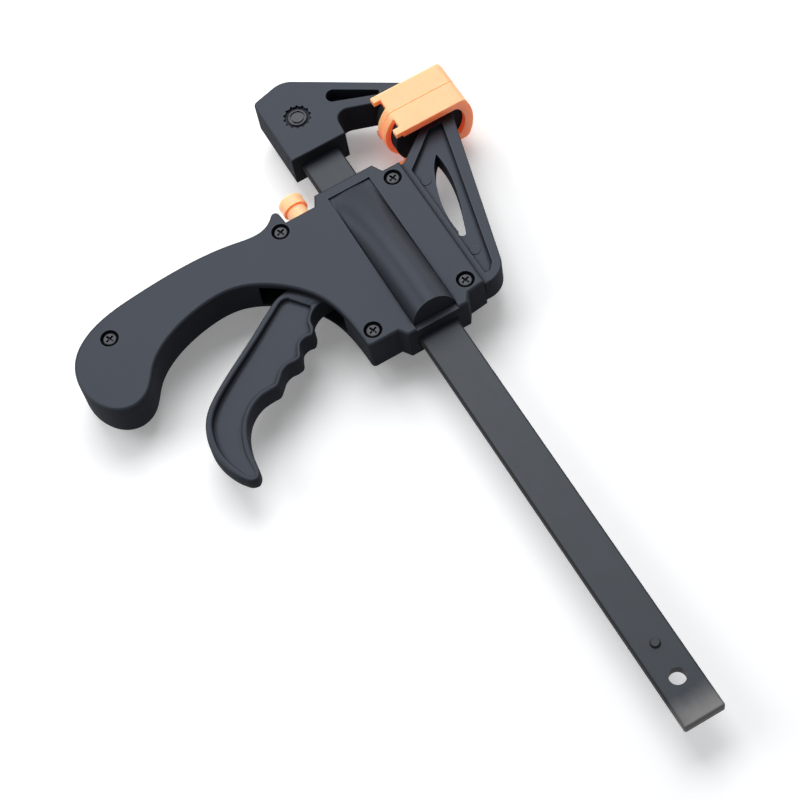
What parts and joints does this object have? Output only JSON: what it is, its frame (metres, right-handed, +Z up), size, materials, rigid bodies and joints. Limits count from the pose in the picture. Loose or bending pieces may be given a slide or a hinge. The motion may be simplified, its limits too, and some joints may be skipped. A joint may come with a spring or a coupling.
{
  "type": "quick release bar clamp",
  "caption": "One-handed bar clamp: a pistol-grip head with squeeze trigger and release button walks its padded jaw along a flat bar towards the fixed jaw.",
  "frame": {"origin": "centre of the fixed pad's clamping face", "axes": "+X along the bar from the fixed jaw to its free end, +Y out of the throat to the jaw tips, +Z up through the cover with the screws"},
  "size_m": [0.2647, 0.1607, 0.0272],
  "materials": {
    "bar_steel": "satin black oxide, bare at the cut end",
    "nylon": "charcoal moulded nylon, fine texture",
    "pad": "orange soft moulded pad, satin",
    "button": "orange moulded plastic, semi-gloss",
    "rivet_steel": "blackened steel",
    "screw_steel": "black zinc",
    "plate_steel": "hardened steel, oiled",
    "spring_steel": "drawn spring wire"
  },
  "bodies": {
    "bar_and_fixed_jaw": {"bar": "bar_steel", "fixed_jaw": "nylon", "jaw_rivet": "rivet_steel", "fixed_pad": "pad"},
    "head": {"body_shell": "nylon", "front_cover": "nylon", "moving_pad": "pad", "cover_screws": "screw_steel", "trigger_pin": "rivet_steel", "drive_spring": "spring_steel", "brake_spring": "spring_steel"},
    "trigger_lever": {"trigger": "nylon"},
    "drive_plates": {"drive_plate_1": "plate_steel", "drive_plate_2": "plate_steel"},
    "brake": {"brake_plate": "plate_steel"},
    "button": {"release_button": "button"}
  },
  "joints": [
    {"name": "jaw_slide", "type": "slide", "parent": "bar_and_fixed_jaw", "child": "head", "axis": [1, 0, 0], "range_m": [0, 0.1254]},
    {"name": "trigger_pull", "type": "hinge", "parent": "head", "child": "trigger_lever", "pos_m": [0.043, -0.0585, 0], "axis": [0, 0, -1], "range_deg": [0, 20], "stiffness_Nm_per_rad": 0.1, "springref_deg": -11.46},
    {"name": "drive_advance", "type": "slide", "parent": "head", "child": "drive_plates", "axis": [1, 0, 0], "range_m": [0, 0.0039], "deforming": ["drive_spring"]},
    {"name": "release_press", "type": "slide", "parent": "head", "child": "button", "axis": [1, 0, 0], "range_m": [0, 0.0029], "stiffness_N_per_m": 1200, "springref_m": -0.002},
    {"name": "brake_swing", "type": "hinge", "parent": "head", "child": "brake", "pos_m": [0.0255, -0.0258, 0], "axis": [0, 0, 1], "range_deg": [0, 6], "deforming": ["brake_spring"]}
  ],
  "couplings": [
    {"joint": "drive_advance", "follows": "trigger_pull", "m_per_rad": 0.011},
    {"joint": "brake_swing", "follows": "release_press", "rad_per_m": 36}
  ]
}
